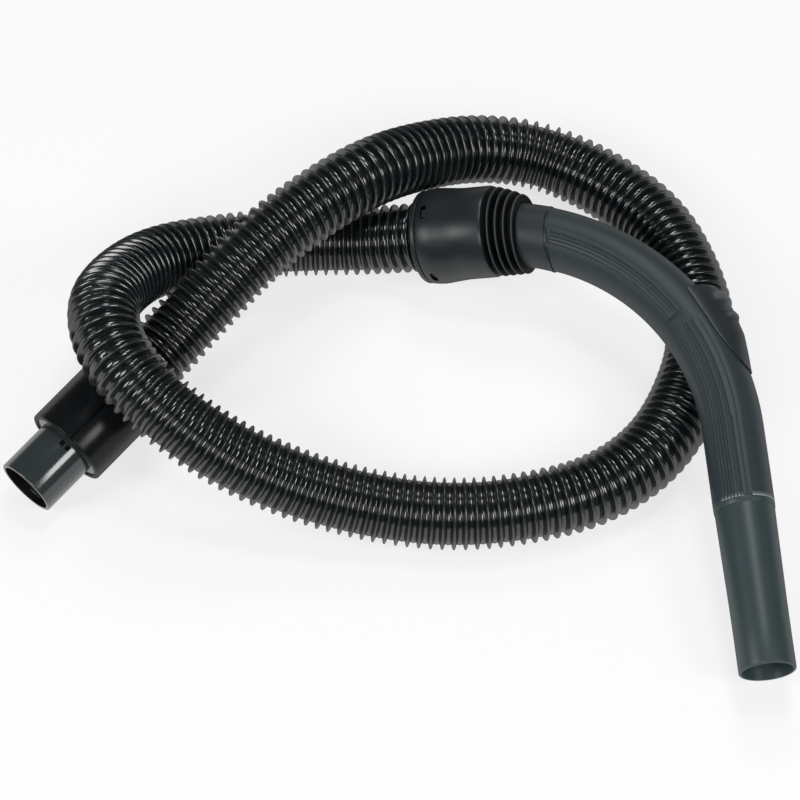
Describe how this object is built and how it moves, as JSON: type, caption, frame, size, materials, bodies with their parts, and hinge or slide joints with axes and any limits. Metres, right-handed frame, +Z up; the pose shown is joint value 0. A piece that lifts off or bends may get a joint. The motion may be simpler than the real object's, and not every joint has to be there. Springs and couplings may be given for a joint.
{
  "type": "vacuum cleaner suction hose",
  "caption": "Flexible ribbed suction hose with a bent swivelling handle, a thumb slide that lets in air, and a swivelling connector for the machine.",
  "frame": {"origin": "middle of the handle's and connector's footprint, on the surface that the hose lies on", "axes": "+Z up, +X towards the handle's bend, +Y from the wand's tip towards the cuff"},
  "size_m": [0.4301, 0.3719, 0.0982],
  "materials": {
    "hose_black": "glossy ribbed",
    "ferrule_black": "satin",
    "seal_rubber": "matt",
    "clip_grey": "satin",
    "cuff_slate": "fine matt",
    "tube_slate": "satin",
    "duct_black": "plain moulded",
    "grip_slate": "fine matt",
    "wand_grey": "satin",
    "slider_slate": "satin",
    "connector_black": "glossy"
  },
  "bodies": {
    "hose_line": {"hose": "hose_black", "ferrule_handle_end": "ferrule_black", "ferrule_machine_end": "ferrule_black", "swivel_seal_handle": "seal_rubber", "swivel_seal_machine": "seal_rubber"},
    "handle": {"swivel_barrel": "cuff_slate", "swivel_clip_upper": "clip_grey", "swivel_clip_lower": "clip_grey", "fin_collar": "cuff_slate", "elbow_tube": "tube_slate", "duct_half_upper": "duct_black", "duct_half_lower": "duct_black", "grip_front_ring": "tube_slate", "grip_outer_shell": "grip_slate", "grip_inner_shell": "grip_slate", "grip_end_ring": "grip_slate", "wand_tube": "wand_grey"},
    "regulator": {"suction_slider": "slider_slate", "slider_seal": "seal_rubber"},
    "connector": {"machine_spigot": "connector_black", "sleeve_half_left": "connector_black", "sleeve_half_right": "connector_black"}
  },
  "joints": [
    {"name": "handle_swivel", "type": "hinge", "parent": "hose_line", "child": "handle", "pos_m": [0.03828, 0.12809, 0.03636], "axis": [-0.9188, 0.167, -0.3576], "range_deg": [0, 200]},
    {"name": "regulator_slide", "type": "hinge", "parent": "handle", "child": "regulator", "pos_m": [0.04256, -0.02259, 0.00786], "axis": [-0.2782, -0.201, 0.9392], "range_deg": [0, 8]},
    {"name": "connector_swivel", "type": "hinge", "parent": "hose_line", "child": "connector", "pos_m": [-0.18023, -0.01028, 0.0243], "axis": [-0.6618, -0.735, -0.1478], "continuous": true}
  ]
}
